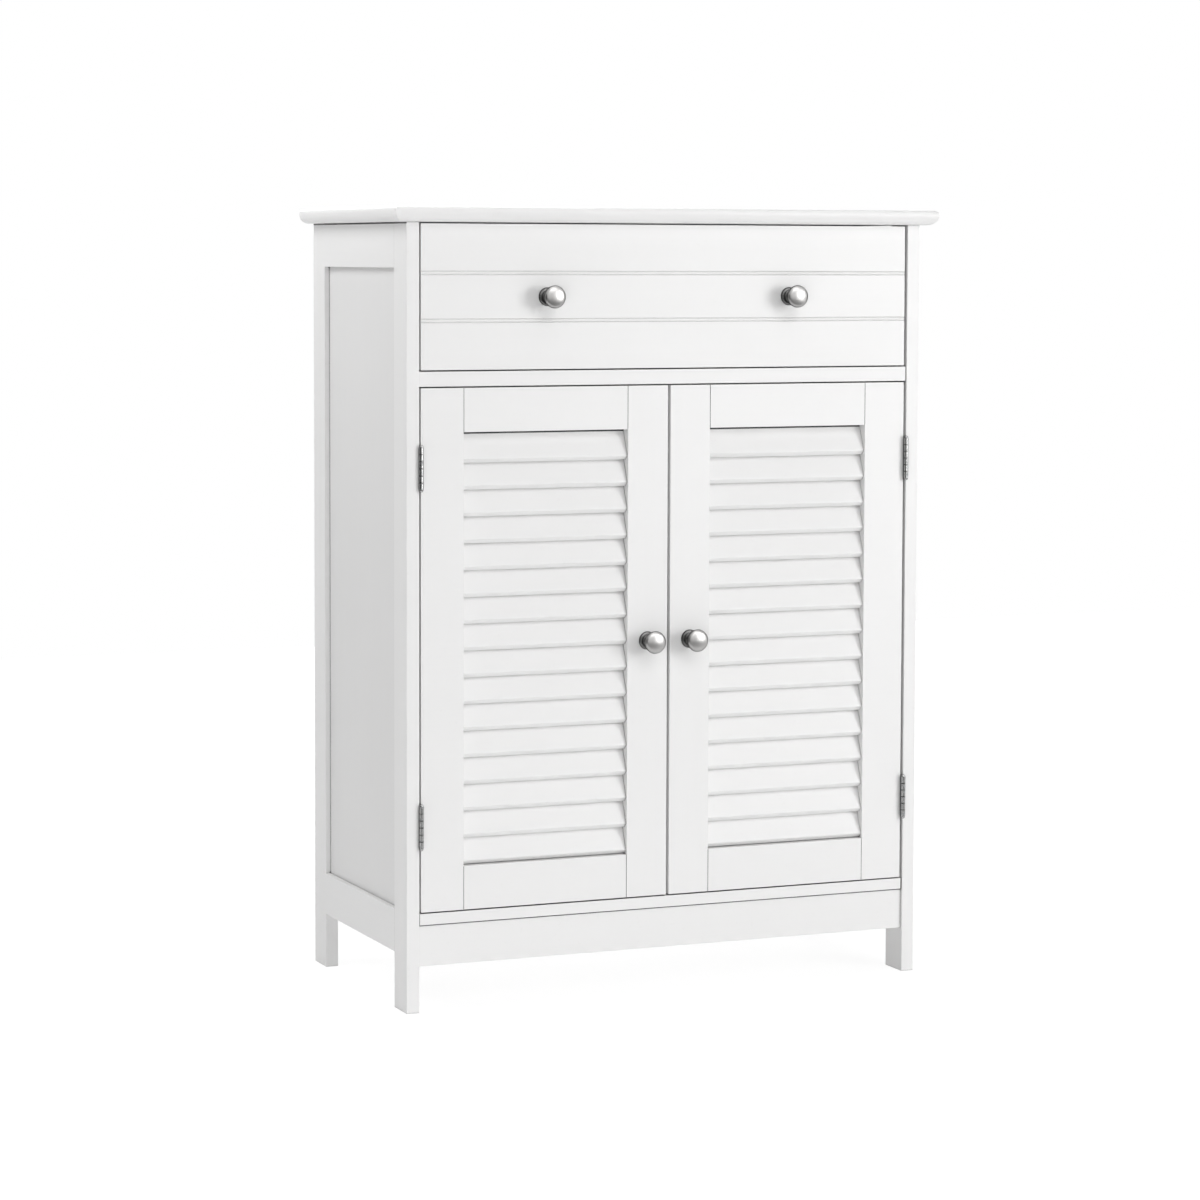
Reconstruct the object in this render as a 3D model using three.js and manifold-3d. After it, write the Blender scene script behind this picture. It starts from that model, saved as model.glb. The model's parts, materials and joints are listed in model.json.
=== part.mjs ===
// A small painted cabinet: one drawer over a cupboard with two louvred doors.
// Millimetres. X runs to the viewer's right, Y from front to back, Z up from the floor.
// Y is 0 at the front plane of the legs until the whole cabinet is centred at the end.

import * as THREE from 'three';
import { mergeVertices } from 'three/addons/utils/BufferGeometryUtils.js';
import Module from 'manifold-3d';

const wasm = await Module();
wasm.setup();

// Overall sizes
const overallWidth = 600;
const overallDepth = 300;
const overallHeight = 800;

// Top board and its moulded edge
const topThickness = 15;
const topSideOverhang = 16;
const topFrontOverhang = 14;
const edgeTuck = 10;
const edgeSweepHeight = 9.5;
const edgeTopRound = 4.5;
const roundHandleShare = 0.45;

// Side frames: legs, rails and panel
const legWidth = 13.5;
const legDepth = 36;
const sideTopRailHeight = 45;
const sideBottomRailHeight = 43.5;
const sideRailClearance = 56.5;
const sideRailTopGap = 0.9;
const panelThickness = 4;
const panelRecess = 5.5;
const panelGrooveDepth = 6;

// Boards between the side frames
const apronHeight = 41;
const apronThickness = 15;
const apronFloorGap = 46;
const apronRecess = 3.5;
const bottomThickness = 12;
const dividerThickness = 15;
const drawerOpeningHeight = 147;
const backThickness = 3;
const backInset = 8;
const backGrooveDepth = 6;

// Gaps round the drawer front and the doors, and how far these sit behind the legs
const frontRecess = 1.8;
const reveal = 1.3;
const drawerEndGap = 2.4;
const hingeGap = 2.4;
const meetingGap = 3;

// Fitting clearance of tongues, tenons and pins, and the overrun of a cutting shape
const fit = 0.3;
const overrun = 1;

// The fine seam that shows on the face where two flush boards meet
const seamWidth = 0.5;
const seamDepth = 2;

// Shelf, its pins and their rows of holes
const shelfThickness = 12;
const shelfHeight = 366;
const shelfFrontGap = 8;
const shelfBackGap = 2;
const shelfSideGap = 1;
const pinDiameter = 5;
const pinHoleDepth = 8;
const pinSetback = 10;
const pinRowPitch = 32;
const pinSpoonWidth = 7;
const pinSpoonLength = 8;
const pinSpoonThickness = 2;
const pinRowSteps = [-1, 0, 1];

// Drawer
const drawerFrontThickness = 18;
const drawerSideThickness = 12;
const drawerBackThickness = 12;
const drawerBoxHeight = 110;
const drawerRearGap = 15.5;
const drawerBoxRise = 5;
const drawerSideGap = 3;
const drawerBottomThickness = 3;
const drawerBottomRise = 8;
const drawerBottomTongue = 6;
const frontMiddleBoardHeight = 47.2;
const frontBeadWidth = 3.3;
const frontQuirkWidth = 1.2;
const frontQuirkDepth = 1;

// Runner strips for the drawer
const runnerHeight = 16;
const runnerRise = 50;
const runnerGrooveDepth = 6;
const runnerPlay = 0.5;
const runnerRearSetback = 16;

// Doors
const doorThickness = 20;
const hingeStileWidth = 45;
const meetingStileWidth = 44;
const doorRailHeight = 44;
const tenonLength = 24;
const tenonThickness = 8;
const tenonShoulder = 6;

// Louvres
const slatSpacing = 26.6;
const slatThickness = 7;
const slatAngle = THREE.MathUtils.degToRad(22);
const slatOverlap = 1;
const slatLip = 2;
const slatSetback = 2.2;
const slatCornerRound = 1.2;
const housingDepth = 8;

// Hinges
const hingeTopInset = 79;
const hingeBottomInset = 86;
const hingeLength = 42;
const knuckleCount = 6;
const knuckleGap = 0.3;
const barrelDiameter = 4.4;
const hingeBoreDiameter = 3;
const hingePinDiameter = 2.3;
const hingeTipHeight = 2.4;
const hingeTipDiameter = 4;
const leafThickness = 0.8;
const leafWidth = 16;
const leafBarrelGap = 0.4;
const axisProud = 2.7;
const leafScrewInset = 9;
const leafScrewSetback = 10;
const leafHoleDiameter = 3;
const leafSinkDiameter = 5.4;

// Knobs
const knobHeadDiameter = 22.8;
const knobBaseDiameter = 18.5;
const knobNeckDiameter = 8;
const knobProjection = 25;
const knobBaseHeight = 3;
const knobNeckHeight = 9;
const knobRimHeight = 20;
const knobFaceDiameter = 17;
const knobFaceHeight = 23.7;
const knobShoulderHeight = 2.7;
const knobFlareHeight = 16;
const knobRimTopHeight = 22.6;
const doorKnobRise = 1.5;

// Magnetic catch and the strike plates on the doors
const strikeWidth = 26;
const strikeHeight = 12;
const strikeThickness = 1.2;
const strikeInset = 8;
const strikeTopInset = 2;
const catchMargin = 6;
const catchHeight = 14;
const catchDepth = 15;
const catchPoleProud = 1;
const catchPoleThickness = 2;
const catchPoleGap = 4;
const catchStrikeGap = 0.4;

// Smoothness of round pieces
const barrelSides = 12;
const pinHoleSides = 12;
const screwHoleSides = 8;
const knobSides = 24;
const curveSteps = 4;
const edgeSteps = 6;

// Places worked out from the sizes above
const bodyWidth = overallWidth - 2 * topSideOverhang;
const bodyDepth = overallDepth - topFrontOverhang;
const bodyHeight = overallHeight - topThickness;
const innerHalf = bodyWidth / 2 - legWidth;
const bottomBoardBase = apronFloorGap + apronHeight;
const bottomBoardTop = bottomBoardBase + bottomThickness;
const dividerTop = bodyHeight - drawerOpeningHeight;
const dividerBase = dividerTop - dividerThickness;
const backFront = bodyDepth - backInset - backThickness;
const panelInner = panelRecess + panelThickness;

const doorBase = bottomBoardTop + reveal;
const doorHeight = dividerBase - reveal - doorBase;
const doorWidth = innerHalf - hingeGap - meetingGap / 2;
const doorFace = frontRecess + axisProud;
const doorBack = doorFace + doorThickness;
const slatSpan = doorWidth - hingeStileWidth - meetingStileWidth;
const doorEdge = hingeGap / 2;

// The slats fill the height between the rails, as many as come nearest to their usual spacing.
const louvreHeight = doorHeight - 2 * doorRailHeight;
const slatHeelDrop = slatThickness * Math.sin(slatAngle) + slatLip * Math.cos(slatAngle);
const slatCount = Math.round(louvreHeight / slatSpacing);
const slatPitch = (louvreHeight - fit - slatHeelDrop) / slatCount;

const drawerFrontBase = dividerTop + reveal;
const drawerFrontHeight = drawerOpeningHeight - 2 * reveal;
const drawerFrontWidth = 2 * (innerHalf - drawerEndGap);
const drawerOuterHalf = innerHalf - drawerSideGap;
const drawerInnerHalf = drawerOuterHalf - drawerSideThickness;
const drawerBottomLevel = drawerBoxRise + drawerBottomRise;
const drawerBoxDepth = backFront - drawerRearGap - frontRecess - drawerFrontThickness;

const hingeHeights = {
  upper: doorHeight - hingeTopInset,
  lower: hingeBottomInset,
};

// Finishes
const paint = new THREE.MeshStandardMaterial({ color: 0xeeeeec, roughness: 0.45, metalness: 0 });
const innerPaint = new THREE.MeshStandardMaterial({ color: 0xe6e5e1, roughness: 0.6, metalness: 0 });
const backBoard = new THREE.MeshStandardMaterial({ color: 0xdedcd6, roughness: 0.7, metalness: 0 });
const nickel = new THREE.MeshStandardMaterial({ color: 0xb4b2ae, roughness: 0.28, metalness: 1 });
const steel = new THREE.MeshStandardMaterial({ color: 0xa9aaab, roughness: 0.35, metalness: 1 });
const plastic = new THREE.MeshStandardMaterial({ color: 0xe9e8e4, roughness: 0.5, metalness: 0 });

// Six times the volume inside a set of triangles, negative if they face inward.
function signedVolume(corners, triangles) {
  const a = new THREE.Vector3();
  const b = new THREE.Vector3();
  const c = new THREE.Vector3();
  let sum = 0;
  for (let i = 0; i < triangles.length; i += 3) {
    a.fromArray(corners, triangles[i] * 3);
    b.fromArray(corners, triangles[i + 1] * 3);
    c.fromArray(corners, triangles[i + 2] * 3);
    sum += a.dot(b.cross(c));
  }
  return sum;
}

// A solid with merged corners and its faces pointing out.
function solidOf(geometry) {
  const bare = geometry.clone();
  bare.deleteAttribute('normal');
  bare.deleteAttribute('uv');
  const merged = mergeVertices(bare);
  const corners = merged.getAttribute('position').array;
  const index = merged.getIndex().array;
  const triangles = [];
  for (let i = 0; i < index.length; i += 3) {
    const [a, b, c] = index.slice(i, i + 3);
    if (a !== b && b !== c && c !== a) triangles.push(a, b, c);
  }
  if (signedVolume(corners, triangles) < 0) triangles.reverse();
  return new wasm.Manifold(new wasm.Mesh({
    numProp: 3,
    vertProperties: new Float32Array(corners),
    triVerts: new Uint32Array(triangles),
  }));
}

function geometryOf(solid) {
  const mesh = solid.getMesh();
  const geometry = new THREE.BufferGeometry();
  geometry.setAttribute('position', new THREE.BufferAttribute(mesh.vertProperties, 3));
  geometry.setIndex(new THREE.BufferAttribute(mesh.triVerts, 1));
  return geometry;
}

function joined(...geometries) {
  return geometryOf(geometries.map(solidOf).reduce((sum, solid) => sum.add(solid)));
}

function cut(body, ...tools) {
  return geometryOf(tools.map(solidOf).reduce((rest, tool) => rest.subtract(tool), solidOf(body)));
}

function common(first, second) {
  return geometryOf(solidOf(first).intersect(solidOf(second)));
}

// A piece built for the left side, or its mirror image for the right side.
function handed(geometry, side) {
  return side < 0 ? geometry : geometryOf(solidOf(geometry.clone().scale(-1, 1, 1)));
}

// A block between its low and high limits along X, Y and Z.
function block([x0, x1], [y0, y1], [z0, z1]) {
  const geometry = new THREE.BoxGeometry(x1 - x0, y1 - y0, z1 - z0);
  return geometry.translate((x0 + x1) / 2, (y0 + y1) / 2, (z0 + z1) / 2);
}

// A section drawn in Y and Z, run along X from one limit to the other.
function alongX(section, [x0, x1], curveSegments = curveSteps) {
  const options = { depth: x1 - x0, bevelEnabled: false, curveSegments };
  const geometry = new THREE.ExtrudeGeometry(section, options);
  const turn = new THREE.Matrix4().makeBasis(
    new THREE.Vector3(0, 1, 0),
    new THREE.Vector3(0, 0, 1),
    new THREE.Vector3(1, 0, 0),
  );
  return geometry.applyMatrix4(turn).translate(x0, 0, 0);
}

// A section drawn in X and Z, run along Y from one limit to the other.
function alongY(section, [y0, y1], curveSegments = curveSteps) {
  const options = { depth: y1 - y0, bevelEnabled: false, curveSegments };
  const geometry = new THREE.ExtrudeGeometry(section, options);
  return geometry.rotateX(Math.PI / 2).translate(0, y1, 0);
}

// A round bar along X, or along Z, from one limit to the other, centred on the other two axes.
function barAlongX(radius, [x0, x1], sides) {
  const geometry = new THREE.CylinderGeometry(radius, radius, x1 - x0, sides);
  return geometry.rotateZ(Math.PI / 2).translate((x0 + x1) / 2, 0, 0);
}

function barAlongZ(radius, [z0, z1], sides) {
  const geometry = new THREE.CylinderGeometry(radius, radius, z1 - z0, sides);
  return geometry.rotateX(Math.PI / 2).translate(0, 0, (z0 + z1) / 2);
}

// Cutting shapes for the seams at both ends of a board whose face is at the given depth.
function endSeams([left, right], face, [low, high]) {
  const depths = [face - overrun, face + seamDepth];
  const levels = [low - overrun, high + overrun];
  return [[left - overrun, left + seamWidth], [right - seamWidth, right + overrun]]
    .map((xLimits) => block(xLimits, depths, levels));
}

function addPiece(group, name, geometry, material, place = [0, 0, 0]) {
  const mesh = new THREE.Mesh(geometry, material);
  mesh.name = name;
  mesh.position.set(...place);
  group.add(mesh);
}

// Adds one moulded edge to a section, going up at the end that direction points to.
function mouldedEdge(shape, edge, direction) {
  const foot = edge - direction * edgeTuck;
  const crown = edge - direction * edgeTopRound;
  const crownLevel = topThickness - edgeTopRound;
  const handle = edge - direction * edgeTuck * roundHandleShare;
  const handleLevel = edgeSweepHeight * roundHandleShare;
  if (direction > 0) {
    shape.lineTo(foot, 0);
    shape.bezierCurveTo(handle, 0, edge, handleLevel, edge, edgeSweepHeight);
    shape.lineTo(edge, crownLevel);
    shape.quadraticCurveTo(edge, topThickness, crown, topThickness);
  } else {
    shape.lineTo(crown, topThickness);
    shape.quadraticCurveTo(edge, topThickness, edge, crownLevel);
    shape.lineTo(edge, edgeSweepHeight);
    shape.bezierCurveTo(edge, handleLevel, handle, 0, foot, 0);
  }
}

// Top board: the front and side mouldings meet in mitres, and the rear edge is square.
function topBoard() {
  const acrossSides = new THREE.Shape();
  acrossSides.moveTo(0, 0);
  mouldedEdge(acrossSides, overallWidth / 2, 1);
  mouldedEdge(acrossSides, -overallWidth / 2, -1);
  const frontToRear = new THREE.Shape();
  frontToRear.moveTo(bodyDepth, 0);
  frontToRear.lineTo(bodyDepth, topThickness);
  mouldedEdge(frontToRear, -topFrontOverhang, -1);
  const sides = alongY(acrossSides, [-topFrontOverhang - overrun, bodyDepth + overrun], edgeSteps);
  const front = alongX(frontToRear, [-overallWidth / 2 - overrun, overallWidth / 2 + overrun], edgeSteps);
  return common(sides, front);
}

// Side frame pieces are built with X running inward from the outer face of the leg.

// The panel lies against the outer wall of its groove and is free on the inner side.
function panelGroove(yLimits, zLimits) {
  return block([panelRecess, panelInner + fit], yLimits, zLimits);
}

function shelfPinHoles(y) {
  const level = shelfHeight - shelfThickness - pinDiameter / 2;
  const radius = pinDiameter / 2 + fit / 2;
  return pinRowSteps.map((step) => {
    const hole = barAlongX(radius, [legWidth - pinHoleDepth, legWidth + overrun], pinHoleSides);
    return hole.translate(0, y, level + step * pinRowPitch);
  });
}

function frontLeg() {
  const body = block([0, legWidth], [0, legDepth], [0, bodyHeight]);
  const groove = panelGroove(
    [legDepth - panelGrooveDepth - fit, legDepth + overrun],
    [sideRailClearance - fit, bodyHeight + overrun],
  );
  return cut(body, groove, ...shelfPinHoles(legDepth - pinSetback));
}

function rearLeg() {
  const front = bodyDepth - legDepth;
  const body = block([0, legWidth], [front, bodyDepth], [0, bodyHeight]);
  const groove = panelGroove(
    [front - overrun, front + panelGrooveDepth + fit],
    [sideRailClearance - fit, bodyHeight + overrun],
  );
  const backGroove = block(
    [legWidth - backGrooveDepth - fit, legWidth + overrun],
    [backFront - fit, backFront + backThickness + fit],
    [bottomBoardBase - fit, bodyHeight + overrun],
  );
  return cut(body, groove, backGroove, ...shelfPinHoles(front + pinSetback));
}

// A rail with a stub tenon at each end. The panel's groove runs along one edge and the tenons.
function sideRail(base, height, panelIsAbove) {
  const rear = bodyDepth - legDepth;
  const body = block([0, legWidth], [legDepth, rear], [base, base + height]);
  const tenonEnds = [legDepth - panelGrooveDepth, rear + panelGrooveDepth];
  const tenons = block([panelRecess, panelInner], tenonEnds, [base, base + height]);
  const grooveLevels = panelIsAbove
    ? [base + height - panelGrooveDepth - fit, base + height + overrun]
    : [base - overrun, base + panelGrooveDepth + fit];
  const groove = panelGroove([tenonEnds[0] - overrun, tenonEnds[1] + overrun], grooveLevels);
  return cut(joined(body, tenons), groove);
}

function sidePanel() {
  const low = sideRailClearance + sideBottomRailHeight - panelGrooveDepth;
  const high = bodyHeight - sideTopRailHeight + panelGrooveDepth;
  return block(
    [panelRecess, panelInner],
    [legDepth - panelGrooveDepth, bodyDepth - legDepth + panelGrooveDepth],
    [low, high],
  );
}

// A round pin with a flat spoon that the shelf rests on. Its top is at Z 0.
function shelfPin() {
  const pin = barAlongX(pinDiameter / 2, [legWidth - pinHoleDepth + fit, legWidth + overrun], pinHoleSides);
  const spoon = block(
    [legWidth, legWidth + pinSpoonLength],
    [-pinSpoonWidth / 2, pinSpoonWidth / 2],
    [-pinSpoonThickness, 0],
  );
  return joined(pin.translate(0, 0, -pinDiameter / 2), spoon);
}

// A strip screwed to both legs, that the groove of the drawer's side slides on.
function drawerRunner() {
  const reach = drawerSideGap + runnerGrooveDepth - runnerPlay;
  const front = frontRecess + drawerFrontThickness + runnerPlay;
  const base = drawerFrontBase + drawerBoxRise + runnerRise;
  return block(
    [legWidth, legWidth + reach],
    [front, bodyDepth - runnerRearSetback],
    [base, base + runnerHeight],
  );
}

function bottomBoard() {
  const levels = [bottomBoardBase, bottomBoardTop];
  const board = block([-innerHalf, innerHalf], [frontRecess, backFront - fit], levels);
  return cut(board, ...endSeams([-innerHalf, innerHalf], frontRecess, levels));
}

function frontApron() {
  const body = block(
    [-innerHalf, innerHalf],
    [apronRecess, apronRecess + apronThickness],
    [apronFloorGap, bottomBoardBase],
  );
  const seam = block(
    [-innerHalf - overrun, innerHalf + overrun],
    [apronRecess - overrun, apronRecess + seamDepth],
    [bottomBoardBase - seamWidth, bottomBoardBase + overrun],
  );
  return cut(body, seam);
}

// The divider is wider between the legs, where it reaches out to the side panels.
function dividerBoard() {
  const levels = [dividerBase, dividerTop];
  const wideHalf = bodyWidth / 2 - panelInner - fit;
  const board = block([-innerHalf, innerHalf], [frontRecess, backFront - fit], levels);
  const wings = block([-wideHalf, wideHalf], [legDepth + fit, bodyDepth - legDepth - fit], levels);
  return joined(board, wings);
}

function backPanel() {
  const half = innerHalf + backGrooveDepth;
  return block([-half, half], [backFront, backFront + backThickness], [bottomBoardBase, bodyHeight]);
}

function adjustableShelf() {
  const half = innerHalf - shelfSideGap;
  const front = frontRecess + doorThickness + shelfFrontGap;
  const levels = [shelfHeight - shelfThickness, shelfHeight];
  return block([-half, half], [front, backFront - shelfBackGap], levels);
}

// A housing under the divider with a pair of steel poles facing each door's strike plate.
function magneticCatch() {
  const half = meetingGap / 2 + strikeInset + strikeWidth + catchMargin;
  const poleFace = frontRecess + doorThickness + strikeThickness + catchStrikeGap;
  const housingFace = poleFace + catchPoleProud;
  const housing = block(
    [-half, half],
    [housingFace, housingFace + catchDepth],
    [dividerBase - catchHeight, dividerBase],
  );
  const middle = dividerBase - reveal - strikeTopInset - strikeHeight / 2;
  const poles = [-1, 1].flatMap((side) => [-1, 1].map((row) => {
    const centre = side * (meetingGap / 2 + strikeInset + strikeWidth / 2);
    const level = middle + row * catchPoleGap / 2;
    return block(
      [centre - strikeWidth / 2, centre + strikeWidth / 2],
      [poleFace, housingFace + overrun],
      [level - catchPoleThickness / 2, level + catchPoleThickness / 2],
    );
  }));
  return joined(housing, ...poles);
}

// Drawer pieces are built from the lower edge of the drawer front's face, centred on X.

// Draws a round bead between two fine V grooves, going down the face of the drawer front.
function beadBetweenBoards(section, middle) {
  const upper = middle + frontBeadWidth / 2;
  const lower = middle - frontBeadWidth / 2;
  section.lineTo(0, upper + frontQuirkWidth / 2);
  section.lineTo(frontQuirkDepth, upper);
  section.quadraticCurveTo(-frontQuirkDepth, middle, frontQuirkDepth, lower);
  section.lineTo(0, lower - frontQuirkWidth / 2);
}

function drawerFront() {
  const section = new THREE.Shape();
  section.moveTo(drawerFrontThickness, 0);
  section.lineTo(drawerFrontThickness, drawerFrontHeight);
  section.lineTo(0, drawerFrontHeight);
  for (const side of [1, -1]) {
    beadBetweenBoards(section, (drawerFrontHeight + side * frontMiddleBoardHeight) / 2);
  }
  section.lineTo(0, 0);
  const body = alongX(section, [-drawerFrontWidth / 2, drawerFrontWidth / 2]);
  const half = drawerInnerHalf + drawerBottomTongue + fit;
  const groove = block(
    [-half, half],
    [drawerFrontThickness - drawerBottomTongue - fit, drawerFrontThickness + overrun],
    [drawerBottomLevel - fit, drawerBottomLevel + drawerBottomThickness + fit],
  );
  return cut(body, groove);
}

function drawerSide() {
  const rear = drawerFrontThickness + drawerBoxDepth;
  const body = block(
    [-drawerOuterHalf, -drawerInnerHalf],
    [drawerFrontThickness, rear],
    [drawerBoxRise, drawerBoxRise + drawerBoxHeight],
  );
  const runnerBase = drawerBoxRise + runnerRise;
  const runnerGroove = block(
    [-drawerOuterHalf - overrun, -drawerOuterHalf + runnerGrooveDepth],
    [drawerFrontThickness - overrun, rear + overrun],
    [runnerBase - fit, runnerBase + runnerHeight + fit],
  );
  const bottomGroove = block(
    [-drawerInnerHalf - drawerBottomTongue - fit, -drawerInnerHalf + overrun],
    [drawerFrontThickness - overrun, rear + overrun],
    [drawerBottomLevel - fit, drawerBottomLevel + drawerBottomThickness + fit],
  );
  return cut(body, runnerGroove, bottomGroove);
}

// The back stands on the bottom, which slides in under it.
function drawerBack() {
  const rear = drawerFrontThickness + drawerBoxDepth;
  return block(
    [-drawerInnerHalf, drawerInnerHalf],
    [rear - drawerBackThickness, rear],
    [drawerBottomLevel + drawerBottomThickness, drawerBoxRise + drawerBoxHeight],
  );
}

function drawerBottom() {
  const half = drawerInnerHalf + drawerBottomTongue;
  return block(
    [-half, half],
    [drawerFrontThickness - drawerBottomTongue, drawerFrontThickness + drawerBoxDepth],
    [drawerBottomLevel, drawerBottomLevel + drawerBottomThickness],
  );
}

// Door pieces are built from the door's hinge edge and lower edge, for the left door.
// Y is 0 at the hinge axis.

// The slat's section: its nose is at the origin and its face leans back going up.
function slatSection(grow = 0) {
  const along = new THREE.Vector2(Math.sin(slatAngle), Math.cos(slatAngle));
  const through = new THREE.Vector2(Math.cos(slatAngle), -Math.sin(slatAngle));
  const length = (slatPitch + slatOverlap) / Math.cos(slatAngle);
  const at = (alongFace, throughBoard) => along.clone().multiplyScalar(alongFace)
    .addScaledVector(through, throughBoard);
  const nose = at(-grow, -grow);
  const heel = at(-slatLip - grow, slatThickness + grow);
  const topBack = at(length + grow, slatThickness + grow);
  const topFront = at(length + grow, -grow);
  const section = new THREE.Shape();
  section.moveTo(topFront.x, topFront.y);
  roundedCorner(section, topFront, nose, heel);
  roundedCorner(section, nose, heel, topBack);
  section.lineTo(topBack.x, topBack.y);
  return section;
}

// Draws a line to a corner, a small round there, and stops where the next line leaves it.
function roundedCorner(shape, before, corner, after) {
  const entry = before.clone().sub(corner).setLength(slatCornerRound).add(corner);
  const exit = after.clone().sub(corner).setLength(slatCornerRound).add(corner);
  shape.lineTo(entry.x, entry.y);
  shape.quadraticCurveTo(corner.x, corner.y, exit.x, exit.y);
}

// Runs a slat's section along X at each place in the door, the lowest one just above its rail.
function slatRow(section, xLimits) {
  const slats = [];
  for (let slat = 0; slat < slatCount; slat += 1) {
    const level = doorRailHeight + fit + slatHeelDrop + slat * slatPitch;
    slats.push(alongX(section, xLimits).translate(0, doorFace + slatSetback, level));
  }
  return slats;
}

function railMortises(xLimits) {
  const middle = (doorFace + doorBack) / 2;
  const yLimits = [middle - tenonThickness / 2 - fit, middle + tenonThickness / 2 + fit];
  return [0, doorHeight - doorRailHeight].map((base) => block(
    xLimits,
    yLimits,
    [base + tenonShoulder - fit, base + doorRailHeight - tenonShoulder + fit],
  ));
}

// The hinge stile carries the slats. The top one is trimmed to pass under the rail.
function hingeStileWithSlats() {
  const inner = hingeStileWidth;
  const stile = block([0, inner], [doorFace, doorBack], [0, doorHeight]);
  const mortises = railMortises([inner - tenonLength - fit, inner + overrun]);
  const slatEnd = inner + slatSpan + housingDepth;
  const slats = joined(...slatRow(slatSection(), [inner - overrun, slatEnd]));
  const railZone = block(
    [0, doorWidth],
    [0, doorBack + doorThickness],
    [doorHeight - doorRailHeight - fit, doorHeight],
  );
  return joined(cut(stile, ...mortises), cut(slats, railZone));
}

function meetingStile() {
  const inner = doorWidth - meetingStileWidth;
  const stile = block([inner, doorWidth], [doorFace, doorBack], [0, doorHeight]);
  const mortises = railMortises([inner - overrun, inner + tenonLength + fit]);
  const housings = slatRow(slatSection(fit), [inner - overrun, inner + housingDepth + fit]);
  return cut(stile, ...mortises, ...housings);
}

function doorRail(base) {
  const inner = doorWidth - meetingStileWidth;
  const middle = (doorFace + doorBack) / 2;
  const xLimits = [hingeStileWidth, inner];
  const levels = [base, base + doorRailHeight];
  const body = block(xLimits, [doorFace, doorBack], levels);
  const tenons = block(
    [hingeStileWidth - tenonLength, inner + tenonLength],
    [middle - tenonThickness / 2, middle + tenonThickness / 2],
    [base + tenonShoulder, base + doorRailHeight - tenonShoulder],
  );
  return joined(cut(body, ...endSeams(xLimits, doorFace, levels)), tenons);
}

function strikePlate() {
  const right = doorWidth - strikeInset;
  const high = doorHeight - strikeTopInset;
  return block(
    [right - strikeWidth, right],
    [doorBack, doorBack + strikeThickness],
    [high - strikeHeight, high],
  );
}

// Hinge pieces are built round their own axis, which is at X 0 and Y 0, for the left door.

// The countersunk holes of a leaf's two screws, widest on the side that the head is on.
function screwHoles([leafFace, leafRear], headSide) {
  const depth = leafThickness + 2 * fit;
  const flare = (leafSinkDiameter - leafHoleDiameter) / 2 / leafThickness * fit;
  const wide = leafSinkDiameter / 2 + flare;
  const narrow = leafHoleDiameter / 2 - flare;
  return [-1, 1].map((end) => {
    const sink = new THREE.CylinderGeometry(wide, narrow, depth, screwHoleSides);
    sink.rotateZ(-headSide * Math.PI / 2);
    const level = end * (hingeLength / 2 - leafScrewInset);
    return sink.translate((leafFace + leafRear) / 2, leafScrewSetback, level);
  });
}

function knuckleLimits(index) {
  const pitch = hingeLength / knuckleCount;
  const top = hingeLength / 2 - index * pitch;
  return [top - pitch + knuckleGap / 2, top - knuckleGap / 2];
}

// A leaf with every second knuckle, on the frame's or the door's side of the gap.
function hingeLeaf(firstKnuckle, gapSide) {
  const wood = gapSide * hingeGap / 2;
  const open = wood - gapSide * leafThickness;
  const xLimits = [Math.min(wood, open), Math.max(wood, open)];
  const plateFront = barrelDiameter / 2 + leafBarrelGap;
  const parts = [block(xLimits, [plateFront, leafWidth], [-hingeLength / 2, hingeLength / 2])];
  for (let index = firstKnuckle; index < knuckleCount; index += 2) {
    const zLimits = knuckleLimits(index);
    parts.push(barAlongZ(barrelDiameter / 2, zLimits, barrelSides));
    parts.push(block(xLimits, [0, plateFront + leafBarrelGap], zLimits));
  }
  const bore = barAlongZ(hingeBoreDiameter / 2, [-hingeLength, hingeLength], barrelSides);
  return cut(joined(...parts), bore, ...screwHoles(xLimits, -gapSide));
}

// The hinge pin with a rounded tip at each end.
function hingePin() {
  const tip = hingeTipDiameter / 2;
  const shoulder = hingeLength / 2;
  const profile = new THREE.Path();
  profile.moveTo(0, -shoulder - hingeTipHeight);
  profile.quadraticCurveTo(tip, -shoulder - hingeTipHeight, tip, -shoulder);
  profile.lineTo(hingePinDiameter / 2, -shoulder);
  profile.lineTo(hingePinDiameter / 2, shoulder);
  profile.lineTo(tip, shoulder);
  profile.quadraticCurveTo(tip, shoulder + hingeTipHeight, 0, shoulder + hingeTipHeight);
  return lathe(profile, barrelSides).rotateX(Math.PI / 2);
}

// Turns a profile, drawn as radius and height, about its height axis.
function lathe(profile, sides) {
  return geometryOf(solidOf(new THREE.LatheGeometry(profile.getPoints(curveSteps), sides)));
}

// A mushroom knob that stands out to the front from a flat base at Y 0.
function knob() {
  const base = knobBaseDiameter / 2;
  const neck = knobNeckDiameter / 2;
  const head = knobHeadDiameter / 2;
  const face = knobFaceDiameter / 2;
  const profile = new THREE.Path();
  profile.moveTo(0, 0);
  profile.lineTo(base, 0);
  profile.quadraticCurveTo(base, knobShoulderHeight, (base + neck) / 2, knobBaseHeight);
  profile.quadraticCurveTo(neck, knobBaseHeight, neck, knobNeckHeight);
  profile.bezierCurveTo(neck, knobFlareHeight, head, knobFlareHeight, head, knobRimHeight);
  profile.quadraticCurveTo(head, knobRimTopHeight, face, knobFaceHeight);
  profile.quadraticCurveTo(face / 2, knobProjection, 0, knobProjection);
  return lathe(profile, knobSides).rotateX(Math.PI);
}

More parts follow.
